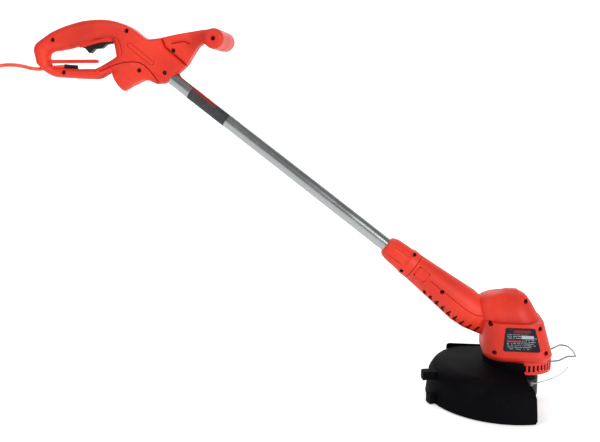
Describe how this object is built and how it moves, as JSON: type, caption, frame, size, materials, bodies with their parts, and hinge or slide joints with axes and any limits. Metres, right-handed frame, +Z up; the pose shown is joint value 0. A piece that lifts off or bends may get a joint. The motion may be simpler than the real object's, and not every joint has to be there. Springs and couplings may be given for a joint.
{
  "type": "corded string trimmer",
  "caption": "Corded electric string trimmer: D-shaped rear handle, T assist grip, straight tube, swivelling motor head, fan guard and spool.",
  "frame": {"origin": "the spool axis at the flat foot of the bump knob, which is the level of the guard's lower rim", "axes": "+X forward away from the user, +Y towards the user's left, +Z up along the spool axis; the tube lies in the XZ plane"},
  "size_m": [1.1108, 0.218, 0.667],
  "materials": {
    "shell_red": "satin",
    "guard_black": "matte",
    "rubber_black": "matte",
    "tube_metal": "satin",
    "label_dark": "satin",
    "plate_dark": "gloss",
    "screw_black": "satin",
    "steel_bright": "polished",
    "copper": "satin",
    "lamination": "satin",
    "nylon_line": "satin",
    "cord_orange": "satin",
    "carbon": "matte",
    "brass": "polished"
  },
  "bodies": {
    "handle": {"handle_shell_right": "shell_red", "handle_shell_left": "shell_red", "handle_screws": "screw_black", "trigger_pin": "steel_bright", "trigger_spring": "steel_bright", "switch_body": "guard_black", "capacitor": "plate_dark", "cord_hook": "shell_red", "cord_boot": "rubber_black", "cord_clamp": "guard_black", "supply_cord": "cord_orange", "plug_body": "rubber_black", "plug_pins": "brass", "assist_handle_right": "shell_red", "assist_handle_left": "shell_red", "assist_handle_screws": "screw_black", "shaft_tube": "tube_metal", "shaft_label": "label_dark", "shaft_lead": "rubber_black", "collar_right": "shell_red", "collar_left": "shell_red", "collar_screws": "screw_black"},
    "trigger": {"trigger": "rubber_black"},
    "switch_plunger": {"switch_plunger": "guard_black"},
    "head": {"motor_housing_right": "shell_red", "motor_housing_left": "shell_red", "housing_screws": "screw_black", "nameplate": "plate_dark", "stator_core": "lamination", "stator_coils": "copper", "motor_bearings": "steel_bright", "lower_bearing_bracket": "guard_black", "brush_holders": "brass", "carbon_brushes": "carbon", "brush_springs": "steel_bright", "vent_ring": "shell_red", "guard": "guard_black", "guard_screws": "screw_black", "line_cutter": "steel_bright", "button_spring": "steel_bright"},
    "swivel_button": {"swivel_button": "shell_red"},
    "rotor": {"motor_shaft": "steel_bright", "armature_core": "lamination", "armature_coils": "copper", "commutator": "copper", "cooling_fan": "guard_black", "spool_case": "guard_black", "line_eyelet": "steel_bright", "line_spool": "guard_black", "wound_line": "nylon_line", "spool_spring": "steel_bright", "cutting_line": "nylon_line"},
    "bump_knob": {"bump_knob": "guard_black"},
    "plant_guard": {"plant_guard": "steel_bright"}
  },
  "joints": [
    {"name": "trigger_pull", "type": "hinge", "parent": "handle", "child": "trigger", "pos_m": [-0.741, 0, 0.6315], "axis": [0, 1, 0], "range_deg": [0, 8], "stiffness_Nm_per_rad": 1.2, "springref_deg": -5.73, "deforming": ["trigger_spring"]},
    {"name": "plunger_slide", "type": "slide", "parent": "handle", "child": "switch_plunger", "axis": [0, 0, 1], "range_m": [0, 0.005]},
    {"name": "head_swivel", "type": "hinge", "parent": "handle", "child": "head", "pos_m": [0, 0, 0.081], "axis": [0.7934, 0, -0.6088], "range_deg": [0, 180]},
    {"name": "button_press", "type": "slide", "parent": "head", "child": "swivel_button", "axis": [0, 1, 0], "range_m": [0, 0.0025], "stiffness_N_per_m": 600, "springref_m": -0.001, "deforming": ["button_spring"]},
    {"name": "rotor_spin", "type": "hinge", "parent": "head", "child": "rotor", "pos_m": [0, 0, 0.05], "axis": [0, 0, 1], "continuous": true},
    {"name": "knob_bump", "type": "slide", "parent": "rotor", "child": "bump_knob", "axis": [0, 0, 1], "range_m": [0, 0.004], "stiffness_N_per_m": 1500, "springref_m": -0.002, "deforming": ["spool_spring"]},
    {"name": "plant_guard_slide", "type": "slide", "parent": "head", "child": "plant_guard", "axis": [0.9894, 0, 0.1454], "range_m": [-0.01, 0]}
  ],
  "couplings": [
    {"joint": "plunger_slide", "follows": "trigger_pull", "m_per_rad": 0.035}
  ]
}
